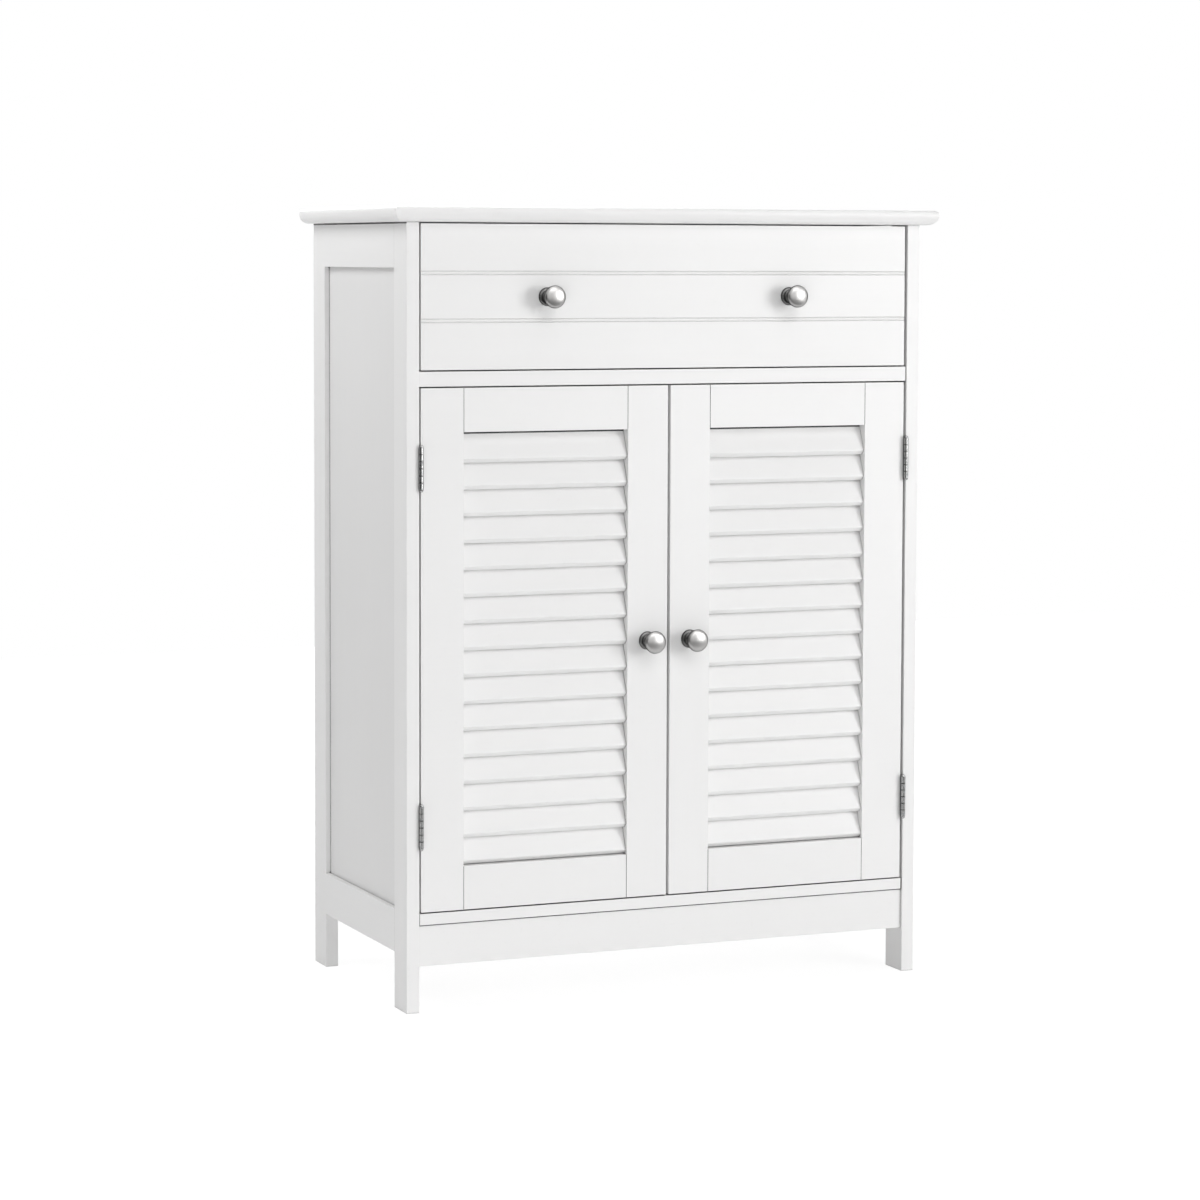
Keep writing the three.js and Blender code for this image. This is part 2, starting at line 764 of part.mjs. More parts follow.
// One side frame, with what is fixed to its legs.
function addSideFrame(cabinet, side, label) {
  const frame = new THREE.Group();
  frame.position.x = side * bodyWidth / 2;
  cabinet.add(frame);
  const bottomRail = sideRail(sideRailClearance, sideBottomRailHeight, true);
  const topRailBase = bodyHeight - sideTopRailHeight;
  const topRail = sideRail(topRailBase, sideTopRailHeight - sideRailTopGap, false);
  addPiece(frame, `${label}_front_leg`, handed(frontLeg(), side), paint);
  addPiece(frame, `${label}_rear_leg`, handed(rearLeg(), side), paint);
  addPiece(frame, `${label}_side_top_rail`, handed(topRail, side), paint);
  addPiece(frame, `${label}_side_bottom_rail`, handed(bottomRail, side), paint);
  addPiece(frame, `${label}_side_panel`, handed(sidePanel(), side), paint);
  addPiece(frame, `${label}_drawer_runner`, handed(drawerRunner(), side), innerPaint);
  const pinPlaces = { front: legDepth - pinSetback, rear: bodyDepth - legDepth + pinSetback };
  for (const [end, y] of Object.entries(pinPlaces)) {
    const place = [0, y, shelfHeight - shelfThickness];
    addPiece(frame, `${label}_${end}_shelf_pin`, handed(shelfPin(), side), nickel, place);
  }
  for (const [level, height] of Object.entries(hingeHeights)) {
    const place = [-side * (legWidth + doorEdge), -axisProud, doorBase + height];
    const leaf = handed(hingeLeaf(0, -1), side);
    addPiece(frame, `${label}_${level}_hinge_frame_leaf`, leaf, steel, place);
    addPiece(frame, `${label}_${level}_hinge_pin`, handed(hingePin(), side), steel, place);
  }
}

function addBoards(cabinet) {
  addPiece(cabinet, 'top_board', topBoard(), paint, [0, 0, bodyHeight]);
  addPiece(cabinet, 'bottom_board', bottomBoard(), paint);
  addPiece(cabinet, 'front_apron', frontApron(), paint);
  addPiece(cabinet, 'divider_board', dividerBoard(), paint);
  addPiece(cabinet, 'back_panel', backPanel(), backBoard);
  addPiece(cabinet, 'adjustable_shelf', adjustableShelf(), innerPaint);
  addPiece(cabinet, 'magnetic_catch', magneticCatch(), plastic);
}

function addDrawer(cabinet) {
  const drawer = new THREE.Group();
  drawer.position.set(0, frontRecess, drawerFrontBase);
  cabinet.add(drawer);
  addPiece(drawer, 'drawer_front', drawerFront(), paint);
  addPiece(drawer, 'drawer_back', drawerBack(), innerPaint);
  addPiece(drawer, 'drawer_bottom', drawerBottom(), backBoard);
  for (const [label, side] of [['left', -1], ['right', 1]]) {
    addPiece(drawer, `drawer_${label}_side`, handed(drawerSide(), side), innerPaint);
    const place = [side * drawerFrontWidth / 4, 0, drawerFrontHeight / 2];
    addPiece(drawer, `drawer_${label}_knob`, knob(), nickel, place);
  }
}

// A door's group turns about its hinge axis.
function addDoor(cabinet, side, label) {
  const door = new THREE.Group();
  door.position.set(side * (innerHalf - doorEdge), -axisProud, doorBase);
  cabinet.add(door);
  const pieces = {
    hinge_stile_with_slats: [hingeStileWithSlats(), paint],
    meeting_stile: [meetingStile(), paint],
    top_rail: [doorRail(doorHeight - doorRailHeight), paint],
    bottom_rail: [doorRail(0), paint],
    strike_plate: [strikePlate(), steel],
  };
  for (const [name, [geometry, material]] of Object.entries(pieces)) {
    addPiece(door, `${label}_door_${name}`, handed(geometry, side), material, [-side * doorEdge, 0, 0]);
  }
  const knobReach = doorEdge + doorWidth - meetingStileWidth / 2;
  const knobPlace = [-side * knobReach, doorFace, doorHeight / 2 + doorKnobRise];
  addPiece(door, `${label}_door_knob`, knob(), nickel, knobPlace);
  for (const [level, height] of Object.entries(hingeHeights)) {
    const leaf = handed(hingeLeaf(1, 1), side);
    addPiece(door, `${label}_${level}_hinge_door_leaf`, leaf, steel, [0, 0, height]);
  }
}

// The whole cabinet stands on Z 0, with the middle of its box, knobs included, at the origin.
const cabinet = new THREE.Group();
const frontmost = frontRecess - knobProjection;
cabinet.position.y = -(frontmost + bodyDepth) / 2;
addBoards(cabinet);
for (const [label, side] of [['left', -1], ['right', 1]]) {
  addSideFrame(cabinet, side, label);
  addDoor(cabinet, side, label);
}
addDrawer(cabinet);

export default cabinet;
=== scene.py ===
"""A white louvred cabinet: its paint, metal and small fasteners, and the light it stands in."""

import json
import math
from itertools import product

import bmesh
import bpy
from mathutils import Matrix, Vector


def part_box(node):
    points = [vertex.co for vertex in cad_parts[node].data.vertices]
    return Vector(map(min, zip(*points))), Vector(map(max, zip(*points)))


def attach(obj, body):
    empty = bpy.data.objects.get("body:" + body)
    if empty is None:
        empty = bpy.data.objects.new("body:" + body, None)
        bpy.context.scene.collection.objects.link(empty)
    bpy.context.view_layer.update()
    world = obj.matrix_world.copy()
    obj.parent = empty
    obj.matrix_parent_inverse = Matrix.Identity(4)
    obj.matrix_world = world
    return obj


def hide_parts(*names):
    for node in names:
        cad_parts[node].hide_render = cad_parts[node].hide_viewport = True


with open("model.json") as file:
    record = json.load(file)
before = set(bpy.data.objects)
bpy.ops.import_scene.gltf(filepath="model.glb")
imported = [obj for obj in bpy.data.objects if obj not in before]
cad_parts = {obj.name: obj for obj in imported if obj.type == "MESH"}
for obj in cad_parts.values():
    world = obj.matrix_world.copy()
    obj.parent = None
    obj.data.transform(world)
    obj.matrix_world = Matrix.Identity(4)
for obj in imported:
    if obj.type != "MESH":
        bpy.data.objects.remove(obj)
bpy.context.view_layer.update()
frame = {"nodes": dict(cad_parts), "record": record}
MM = 0.001
SIDES = {"left": -1, "right": 1}


# Shader maths

class Shade:
    """A socket that takes part in sums. Each sum adds its Math nodes to the tree."""

    def __init__(self, tree, socket):
        self.tree = tree
        self.socket = socket

    def math(self, operation, *terms):
        return self.tree.node("ShaderNodeMath", {"operation": operation}, dict(enumerate(terms)))

    def __add__(self, other):
        return self.math("ADD", self, other)

    def __sub__(self, other):
        return self.math("SUBTRACT", self, other)

    def __rsub__(self, other):
        return self.math("SUBTRACT", other, self)

    def __mul__(self, other):
        return self.math("MULTIPLY", self, other)

    def __gt__(self, other):
        return self.math("GREATER_THAN", self, other)

    def __lt__(self, other):
        return self.math("LESS_THAN", self, other)

    def __abs__(self):
        return self.math("ABSOLUTE", self)

    def fraction(self):
        return self.math("FRACT", self)

    def or_larger(self, other):
        return self.math("MAXIMUM", self, other)

    __radd__ = __add__
    __rmul__ = __mul__


class Tree:
    """The nodes of one material or of the world."""

    GAP_SHADE_SAMPLES = 8

    def __init__(self, owner):
        owner.use_nodes = True
        self.nodes = owner.node_tree.nodes
        self.links = owner.node_tree.links
        self.nodes.clear()

    def node(self, kind, settings=None, sockets=None, output=0):
        made = self.nodes.new(kind)
        for name, value in (settings or {}).items():
            if name == "stops":
                self.set_stops(made.color_ramp.elements, value)
            else:
                setattr(made, name, value)
        for key, value in (sockets or {}).items():
            if isinstance(value, Shade):
                self.links.new(value.socket, made.inputs[key])
            else:
                made.inputs[key].default_value = value
        return Shade(self, made.outputs[output]) if made.outputs else None

    def set_stops(self, elements, stops):
        while len(elements) < len(stops):
            elements.new(1)
        for element, (position, level) in zip(elements, stops):
            element.position = position
            element.color = (level, level, level, 1)

    def noise(self, place, scale, detail=2, roughness=0.5):
        sockets = {"Vector": place, "Scale": scale, "Detail": detail, "Roughness": roughness}
        return self.node("ShaderNodeTexNoise", sockets=sockets)

    def streaks(self, place, scales, detail=2):
        """Noise with its own scale along X, Y and Z, in repeats for each metre."""
        stretched = self.node("ShaderNodeMapping", sockets={"Vector": place, "Scale": scales})
        return self.noise(stretched, scale=1, detail=detail)

    def ramp(self, value, *stops):
        return self.node("ShaderNodeValToRGB", {"stops": stops}, {"Fac": value})

    def blend(self, share, first, second):
        sockets = {0: share, 6: first, 7: second}
        return self.node("ShaderNodeMix", {"data_type": "RGBA"}, sockets, output=2)

    def relief(self, height, depth):
        sockets = {"Height": height, "Distance": depth, "Strength": 1}
        return self.node("ShaderNodeBump", sockets=sockets)

    def place(self):
        return self.node("ShaderNodeTexCoord", output="Object")

    def axis(self, place, name):
        return self.node("ShaderNodeSeparateXYZ", sockets={"Vector": place}, output=name)

    def inside(self, place, low, high):
        """1 in a box and in its mirror image on the other side of the cabinet, 0 elsewhere."""
        share = 1
        for name, least, most in zip("XYZ", low, high):
            along = self.axis(place, name)
            if name == "X":
                along = abs(along)
            share = (along > least) * (along < most) * share
        return share

    def painted_gap_shade(self, reach, *stops):
        """A share for painted shade: how deep a point lies between surfaces nearer than reach, 1
        in a gap and 0 in the open.
        """
        settings = {"samples": self.GAP_SHADE_SAMPLES}
        sockets = {"Distance": reach}
        openness = self.node("ShaderNodeAmbientOcclusion", settings, sockets, output="AO")
        return self.ramp(openness, *stops)


def raised(base_and_shares, *patterns):
    """A base value to which each pattern adds its share."""
    total, *shares = base_and_shares
    for share, pattern in zip(shares, patterns):
        total = total + pattern * share
    return total


def rgb(level, warmth=0.0):
    """A near neutral colour, made warmer by a share."""
    return (level, level * (1 - warmth / 2), level * (1 - warmth), 1)


def finish(name, build):
    """A material whose surface is what build adds to its tree."""
    material = bpy.data.materials.new(name)
    tree = Tree(material)
    surface = tree.node("ShaderNodeBsdfPrincipled", sockets=build(tree))
    tree.node("ShaderNodeOutputMaterial", sockets={"Surface": surface})
    return material


# Lines of painted shade with a place of their own in the paint, and a box kept free of painted
# seam shade

SHADE_LINE_HEIGHT = 1.6 * MM
# What a top rail hides of the painted shade line under it, and the line's depth as shares of the
# rail's
LINE_HIDDEN = 0.7 * MM
LINE_DEPTH = (0.1, 0.8)
# The space under the lowest slats, kept free of painted seam shade, from a little below the rail's
# upper face
SLAT_GAP = 5.5 * MM
SLAT_GAP_START = 0.1 * SLAT_GAP
# The painted shade lines at the bottom board's ends and under it, and how far they reach round its
# front face
END_SEAM = 1.1 * MM
APRON_SEAM = 0.7 * MM
SEAM_REACH = 0.8 * MM
# How far the painted shade line under the top reaches round the side frames' outer face
TOP_LINE_REACH = 0.4 * MM


def door_rail(level):
    """The box of a rail of the right door, and how far from the middle its slats reach."""
    low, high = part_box(f"right_door_{level}_rail")
    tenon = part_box("right_door_meeting_stile")[1].x - low.x
    return low, high, high.x - tenon


def shade_line_over_slats():
    """A painted shadow line between the doors' top rails and the face of the first slat."""
    low, high, outer = door_rail("top")
    front, rear = (low.y + (high.y - low.y) * share for share in LINE_DEPTH)
    return Vector((0, front, low.z - LINE_HIDDEN - SHADE_LINE_HEIGHT)), Vector((outer, rear, low.z))


def gap_under_slats():
    """The space between the lowest slats and the doors' bottom rails, which light reaches, so the
    painted seam shade is left out there.
    """
    low, high, outer = door_rail("bottom")
    nearest = Vector((0, low.y, high.z - SLAT_GAP_START))
    return nearest, Vector((outer, high.y, high.z + SLAT_GAP))


def shade_lines_round_bottom_board():
    """Painted shade lines at the seams between the bottom board's front edge and the legs and the
    apron.
    """
    low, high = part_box("bottom_board")
    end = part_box("right_front_leg")[0].x - END_SEAM
    front, rear = low.y - SEAM_REACH, low.y + SEAM_REACH
    at_legs = Vector((end, front, low.z)), Vector((high.x, rear, high.z))
    at_apron = Vector((0, front, low.z - APRON_SEAM)), Vector((high.x, rear, low.z + APRON_SEAM))
    return at_legs, at_apron


def shade_line_under_top():
    """A painted shadow line between the side frames and the top board."""
    low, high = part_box("right_front_leg")
    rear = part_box("right_rear_leg")[1].y
    nearest = Vector((high.x - TOP_LINE_REACH, low.y, high.z - SHADE_LINE_HEIGHT))
    return nearest, Vector((high.x + TOP_LINE_REACH, rear, high.z + SHADE_LINE_HEIGHT))


# Paint

# Level, warmth and roughness
OUTER_PAINT = (0.875, 0.004, 0.40)
# The side panels' paint is a darker copy of the outer paint, which makes the recessed panels read
# darker than their frame
PANEL_PAINT = (0.82, 0.004, 0.46)
INNER_PAINT = (0.84, 0.02, 0.56)
# The level of the duller patches as a share of the paint's own, and how much warmer they are
DULLER = 0.965
YELLOWER = 0.006
# How much large patches, the grain and specks of dust change the tone
PATCHES, GRAIN, DUST = 0.5, 0.3, 0.4
# How much large patches and the grain change the roughness
ROUGHNESS_SHARES = (0.14, 0.08)
DUST_SPECKS = ((0.70, 0), (0.74, 1))
# Scales of the grain in boards that run across, upright or from front to back
GRAIN_SCALES = {"across": (6, 90, 420), "upright": (420, 90, 6), "deep": (420, 6, 420)}
GRAIN_RELIEF, SPRAY_RELIEF = 0.5, 0.5
PAINT_RELIEF = 0.03 * MM
PAINT_IOR = 1.47
# Reach of the painted shade in seams and gaps, then pairs of openness and strength
PAINT_SEAM_SHADE = (3 * MM, (0.36, 0.92), (0.52, 0.22), (0.8, 0))
# The colour of the painted seam shade
PAINT_SEAM_SHADE_TONE = rgb(0.08, 0.03)
# The colour and strength of the painted shade lines
SHADE_LINE_TONE = rgb(0.03)
SHADE_LINE_STRENGTH = 0.95


def lacquer(paint, run, shade_lines=(), unshaded_box=None):
    """Sprayed paint over smooth board, with a trace of the grain and of the spray.

    It carries painted shade in seams and gaps, and painted shade lines in the given boxes. The
    painted seam shade is left out of the last, optional box, which stays pale.
    """
    level, warmth, roughness = paint
    duller = rgb(level * DULLER, warmth + YELLOWER)

    def build(tree):
        place = tree.place()
        cloud = tree.noise(place, scale=5, detail=3)
        fibre = tree.streaks(place, GRAIN_SCALES[run], detail=3)
        peel = tree.noise(place, scale=650, detail=1)
        speck = tree.ramp(tree.noise(place, scale=240, detail=1), *DUST_SPECKS)
        tone = cloud * PATCHES + fibre * GRAIN + speck * DUST
        colour = tree.blend(tone, rgb(level, warmth), duller)
        # Painted shade in seams and gaps, darker the nearer the surfaces
        painted_gap_shade = tree.painted_gap_shade(*PAINT_SEAM_SHADE)
        if unshaded_box:
            painted_gap_shade = painted_gap_shade * (1 - tree.inside(place, *unshaded_box))
        colour = tree.blend(painted_gap_shade, colour, PAINT_SEAM_SHADE_TONE)
        # Painted shade lines in the given boxes
        for line in shade_lines:
            colour = tree.blend(tree.inside(place, *line) * SHADE_LINE_STRENGTH, colour, SHADE_LINE_TONE)
        relief = fibre * GRAIN_RELIEF + peel * SPRAY_RELIEF
        return {
            "Base Color": colour,
            "Roughness": raised((roughness, *ROUGHNESS_SHARES), cloud - 0.5, fibre - 0.5),
            "Normal": tree.relief(relief, PAINT_RELIEF),
            "IOR": PAINT_IOR,
        }

    return build


# Coated fibre board

# Each roughness is a base and what each pattern adds to it
BOARD_TONES = (rgb(0.80, 0.02), rgb(0.73, 0.045))
BOARD_PATCHES, BOARD_FIBRES = 0.6, 0.4
BOARD_ROUGHNESS = (0.56, 0.16)
BOARD_RELIEF = 0.05 * MM


def coated_board(tree):
    """Thin fibre board with a matt white coat that lets the fibres show a little."""
    place = tree.place()
    fibre = tree.noise(place, scale=900, detail=4, roughness=0.7)
    cloud = tree.noise(place, scale=4)
    return {
        "Base Color": tree.blend(cloud * BOARD_PATCHES + fibre * BOARD_FIBRES, *BOARD_TONES),
        "Roughness": raised(BOARD_ROUGHNESS, fibre),
        "Normal": tree.relief(fibre, BOARD_RELIEF),
    }


# Metal

METAL_RIM_TINT = rgb(0.03)
NICKEL_TONES = (rgb(0.5, 0.02), rgb(0.41, 0.03))
NICKEL_RINGS = (900, 2600, 900)
NICKEL_ROUGHNESS = (0.3, 0.07, 0.05)
NICKEL_RELIEF = 0.004 * MM
RUB_SCALES = (300, 300, 2400)
RUB_MARKS = ((0.62, 0), (0.7, 1))
# Reach of the painted shade on the neck, base and head rim of a knob, then pairs of openness and
# strength
NICKEL_SHADE = (70 * MM, (0.35, 1), (0.72, 0.88), (0.97, 0))
NICKEL_SHADE_TONE = rgb(0.03)

STEEL_TONES = (rgb(0.46), rgb(0.34, -0.03))
STEEL_ROLLING = (260, 260, 2200)
STEEL_ROUGHNESS = (0.18, 0.1, 0.06)
STEEL_RELIEF = 0.01 * MM
DULL_PATCHES = ((0.45, 0), (0.65, 1))
# Reach of the painted shade where the steel lies close to other surfaces, then pairs of openness
# and strength
STEEL_SEAM_SHADE = (4 * MM, (0.3, 0.95), (0.6, 0.4), (0.88, 0))
STEEL_SHADE_TONE = rgb(0.02)

KNUCKLES = 6
KNUCKLE_SHADE_LINE = 0.8 * MM


def satin_nickel(tree):
    """Plated and brushed round the knob's own axis, with a few faint rub marks."""
    place = tree.place()
    rings = tree.streaks(place, NICKEL_RINGS)
    cloud = tree.noise(place, scale=160, detail=3)
    rub = tree.ramp(tree.streaks(place, RUB_SCALES), *RUB_MARKS)
    colour = tree.blend(cloud, *NICKEL_TONES)
    return {
        # Painted shade on the knob's neck and base and round the rim of its head
        "Base Color": tree.blend(tree.painted_gap_shade(*NICKEL_SHADE), colour, NICKEL_SHADE_TONE),
        "Metallic": 1,
        "Specular Tint": METAL_RIM_TINT,
        "Roughness": raised(NICKEL_ROUGHNESS, cloud, rub),
        "Normal": tree.relief(rings, NICKEL_RELIEF),
    }


def plated_steel(tree):
    """Rolled steel with a bright zinc coat, duller where hands and tools have touched it."""
    place = tree.place()
    rolled = tree.streaks(place, STEEL_ROLLING, detail=3)
    dull = tree.ramp(tree.noise(place, scale=220, detail=3), *DULL_PATCHES)
    colour = tree.blend(dull, *STEEL_TONES)
    return {
        # Painted shade where the steel lies close to other surfaces
        "Base Color": tree.blend(tree.painted_gap_shade(*STEEL_SEAM_SHADE), colour, STEEL_SHADE_TONE),
        "Metallic": 1,
        "Specular Tint": METAL_RIM_TINT,
        "Roughness": raised(STEEL_ROUGHNESS, dull, rolled),
        "Normal": tree.relief(rolled, STEEL_RELIEF),
    }


def knuckled_steel(level):
    """Plated steel with painted shade lines where the knuckles of a hinge meet."""

    def build(tree):
        surface = plated_steel(tree)
        low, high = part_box(f"right_{level}_hinge_frame_leaf")
        barrel = high.x - low.x
        pitch = (high.z - low.z) / KNUCKLES
        place = tree.place()
        # Painted shade lines at the joints between the knuckles
        count = (tree.axis(place, "Z") - low.z) * (1 / pitch)
        from_middle = abs(count.fraction() - 0.5)
        joint_shade = from_middle > 0.5 - KNUCKLE_SHADE_LINE / 2 / pitch
        nearest = Vector((low.x, low.y, low.z + pitch / 2))
        furthest = Vector((high.x, low.y + barrel, high.z - pitch / 2))
        joint_shade = joint_shade * tree.inside(place, nearest, furthest)
        surface["Base Color"] = tree.blend(joint_shade, surface["Base Color"], STEEL_SHADE_TONE)
        return surface

    return build


# The catch

PLASTIC_TONES = (rgb(0.80, 0.02), rgb(0.76, 0.03))
POLE_TONES = (rgb(0.52), rgb(0.42))
POLES_PROUD = 0.9 * MM
CATCH_ROUGHNESS = (0.3, 0.18, 0.06)
CATCH_RELIEF = 0.02 * MM


def catch_finish(tree):
    """White moulded plastic behind the line of the housing, steel poles in front of it."""
    place = tree.place()
    plastic = tree.axis(place, "Y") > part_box("magnetic_catch")[0].y + POLES_PROUD
    texture = tree.noise(place, scale=1400)
    cloud = tree.noise(place, scale=90)
    moulded = tree.blend(cloud, *PLASTIC_TONES)
    steel = tree.blend(cloud, *POLE_TONES)
    return {
        "Base Color": tree.blend(plastic, steel, moulded),
        "Metallic": 1 - plastic,
        "Roughness": raised(CATCH_ROUGHNESS, plastic, texture),
        "Normal": tree.relief(texture, CATCH_RELIEF),
    }


# Which piece has which finish

FINISHES = {
    "paint_across": finish("white_lacquer_across", lacquer(OUTER_PAINT, "across")),
    "paint_upright": finish(
        "white_lacquer_upright", lacquer(OUTER_PAINT, "upright", shade_lines=[shade_line_under_top()])
    ),
    "paint_deep": finish(
        "white_lacquer_deep", lacquer(OUTER_PAINT, "deep", shade_lines=[shade_line_under_top()])
    ),
    "slat_paint": finish(
        "white_lacquer_on_slats",
        lacquer(OUTER_PAINT, "across", shade_lines=[shade_line_over_slats()], unshaded_box=gap_under_slats()),
    ),
    "bottom_rail_paint": finish(
        "white_lacquer_on_bottom_rails",
        lacquer(OUTER_PAINT, "across", unshaded_box=gap_under_slats()),
    ),
    "bottom_board_paint": finish(
        "white_lacquer_on_bottom_board",
        lacquer(OUTER_PAINT, "across", shade_lines=shade_lines_round_bottom_board()),
    ),
    "panel_paint": finish("white_lacquer_on_panel", lacquer(PANEL_PAINT, "upright")),
    "inner_across": finish("inner_paint_across", lacquer(INNER_PAINT, "across")),
    "inner_deep": finish("inner_paint_deep", lacquer(INNER_PAINT, "deep")),
    "board": finish("coated_fibre_board", coated_board),
    "nickel": finish("brushed_satin_nickel", satin_nickel),
    "steel": finish("zinc_plated_steel", plated_steel),
    "upper_hinge": finish("zinc_plated_upper_hinges", knuckled_steel("upper")),
    "lower_hinge": finish("zinc_plated_lower_hinges", knuckled_steel("lower")),
    "catch": finish("catch_plastic_and_poles", catch_finish),
}
# Pieces with a finish of their own, by a part of the name
FINISH_BY_NAME = {
    "side_panel": "panel_paint",
    "with_slats": "slat_paint",
    "door_bottom_rail": "bottom_rail_paint",
    "bottom_board": "bottom_board_paint",
    "upper_hinge": "upper_hinge",
    "lower_hinge": "lower_hinge",
}
FINISH_BY_SLOT = {
    "hardboard": "board",
    "satin_nickel": "nickel",
    "white_plastic": "catch",
    "hinge_steel": "steel",
}
UPRIGHT = ("leg", "stile")
DEEP = ("side_top_rail", "side_bottom_rail")
INNER_DEEP = ("drawer_left_side", "drawer_right_side", "runner")


def finish_of(node, slot):
    """The finish of a carried-over piece, from its name, its slot and the way it runs."""
    for word, name in FINISH_BY_NAME.items():
        if word in node:
            return name
    if slot == "white_paint":
        if any(word in node for word in UPRIGHT):
            return "paint_upright"
        return "paint_deep" if any(word in node for word in DEEP) else "paint_across"
    if slot == "inner_paint":
        return "inner_deep" if any(word in node for word in INNER_DEEP) else "inner_across"
    return FINISH_BY_SLOT[slot]


# Eased edges on the carried-over pieces

SMOOTH_LIMIT = math.radians(34)
FLAT_LIMIT = math.radians(0.3)
WELD_REACH = 0.002 * MM
EDGE_SEGMENTS = 2
NORMAL_WEIGHT = 60
EDGE_RADIUS = {
    "white_paint": 0.6 * MM,
    "inner_paint": 0.5 * MM,
    "hardboard": 0.2 * MM,
    "satin_nickel": 0.15 * MM,
    "hinge_steel": 0.25 * MM,
    "white_plastic": 0.3 * MM,
}


def smooth_by_angle():
    """A node group that shades a surface smooth but keeps its sharper edges."""
    group = bpy.data.node_groups.new("smooth_below_limit", "GeometryNodeTree")
    group.interface.new_socket("Surface", in_out="INPUT", socket_type="NodeSocketGeometry")
    group.interface.new_socket("Surface", in_out="OUTPUT", socket_type="NodeSocketGeometry")
    start = group.nodes.new("NodeGroupInput")
    end = group.nodes.new("NodeGroupOutput")
    angle = group.nodes.new("GeometryNodeInputMeshEdgeAngle")
    sharp = group.nodes.new("FunctionNodeCompare")
    sharp.operation = "GREATER_THAN"
    sharp.inputs[1].default_value = SMOOTH_LIMIT
    faces = group.nodes.new("GeometryNodeSetShadeSmooth")
    edges = group.nodes.new("GeometryNodeSetShadeSmooth")
    edges.domain = "EDGE"
    edges.inputs["Shade Smooth"].default_value = False
    link = group.links.new
    link(start.outputs[0], faces.inputs["Geometry"])
    link(faces.outputs[0], edges.inputs["Geometry"])
    link(angle.outputs["Unsigned Angle"], sharp.inputs[0])
    link(sharp.outputs[0], edges.inputs["Selection"])
    link(edges.outputs[0], end.inputs[0])
    return group


SMOOTHING = smooth_by_angle()


def ease_edges(piece, radius):
    """Joins the faces that meet, rounds the sharp edges a little and evens the shading."""
    weld = piece.modifiers.new("weld", "WELD")
    weld.merge_threshold = WELD_REACH
    flat = piece.modifiers.new("flat_faces", "DECIMATE")
    flat.decimate_type = "DISSOLVE"
    flat.angle_limit = FLAT_LIMIT
    if radius:
        bevel = piece.modifiers.new("eased_edges", "BEVEL")
        bevel.width = radius
        bevel.segments = EDGE_SEGMENTS
        bevel.limit_method = "ANGLE"
        bevel.angle_limit = SMOOTH_LIMIT
        bevel.use_clamp_overlap = True
    smooth = piece.modifiers.new("smooth", "NODES")
    smooth.node_group = SMOOTHING
    normals = piece.modifiers.new("even_normals", "WEIGHTED_NORMAL")
    normals.keep_sharp = True
    normals.weight = NORMAL_WEIGHT


def dress_carried_pieces():
    """Gives each piece of the frame its finish and its eased edges."""
    for part in frame["record"]["subparts"]:
        node = frame["nodes"][part["node"]]
        slot = part["material_slot"]
        for holder in node.material_slots:
            holder.material = FINISHES[finish_of(part["node"], slot)]
        ease_edges(node, EDGE_RADIUS[slot])


# Pieces made here

def add_object(name, data):
    """An object in the scene, not yet placed."""
    added = bpy.data.objects.new(name, data)
    bpy.context.scene.collection.objects.link(added)
    return added


def add_piece(name, mesh, finish_name, body, place, turn=None):
    """A piece that rides on a body of the cabinet."""
    piece = add_object(name, mesh)
    piece.location = place
    if turn is not None:
        piece.rotation_euler = turn.to_euler()
    if not mesh.materials:
        mesh.materials.append(FINISHES[finish_name])
    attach(piece, body)
    return piece


# Knobs

BEND_POINTS = 10
TURNED_SIDES = 72
ON_AXIS = 1e-7
# Diameters of a knob's base, neck, head and front face, in millimetres
KNOB_SIZES = (18.5, 8, 22.8, 17)


def curve_points(start, steps):
    """Points along a profile. A step is a line to one point or a bend with its handles."""
    points = [Vector(start)]
    for step in steps:
        before, end = points[-1], Vector(step[-1])
        if len(step) == 1:
            points.append(end)
            continue
        for share in (index / BEND_POINTS for index in range(1, BEND_POINTS + 1)):
            chain = [before, *map(Vector, step)]
            while len(chain) > 1:
                chain = [a.lerp(b, share) for a, b in zip(chain, chain[1:])]
            points.append(chain[0])
    return points


def turned(name, profile):
    """A closed solid, turned about Y from points of radius and distance to the front."""
    mesh = bpy.data.meshes.new(name)
    form = bmesh.new()
    angles = [math.tau * side / TURNED_SIDES for side in range(TURNED_SIDES)]
    rings = []
    for radius, out in profile:
        if radius < ON_AXIS:
            rings.append([form.verts.new((0, -out, 0))])
            continue
        ring = [(radius * math.cos(a), -out, radius * math.sin(a)) for a in angles]
        rings.append([form.verts.new(point) for point in ring])
    for low, high in zip(rings, rings[1:]):
        for side in range(TURNED_SIDES):
            after = (side + 1) % TURNED_SIDES
            corners = [low[side % len(low)], low[after % len(low)]]
            corners += [high[after % len(high)], high[side % len(high)]]
            form.faces.new(list(dict.fromkeys(corners)))
    bmesh.ops.recalc_face_normals(form, faces=form.faces)
    for face in form.faces:
        face.smooth = True
    form.to_mesh(mesh)
    form.free()
    return mesh


def knob_mesh():
    """A knob with a rounded edge where the base meets the wood and at the rim.

    Each point of its profile is a radius and a height above the wood.
    """
    base, neck, head, face = (size / 2 * MM for size in KNOB_SIZES)
    steps = [
        [(base - 0.3 * MM, 0)],
        [(base, 0), (base, 0.4 * MM)],
        [(base, 2.7 * MM), ((base + neck) / 2, 3 * MM)],
        [(neck, 3 * MM), (neck, 9 * MM)],
        [(neck, 16 * MM), (head, 16 * MM), (head, 20 * MM)],
        [(head, 22.6 * MM), (face, 23.7 * MM)],
        [(face / 2, 25 * MM), (0, 25 * MM)],
    ]
    return turned("turned_knob", curve_points((0, 0), steps))


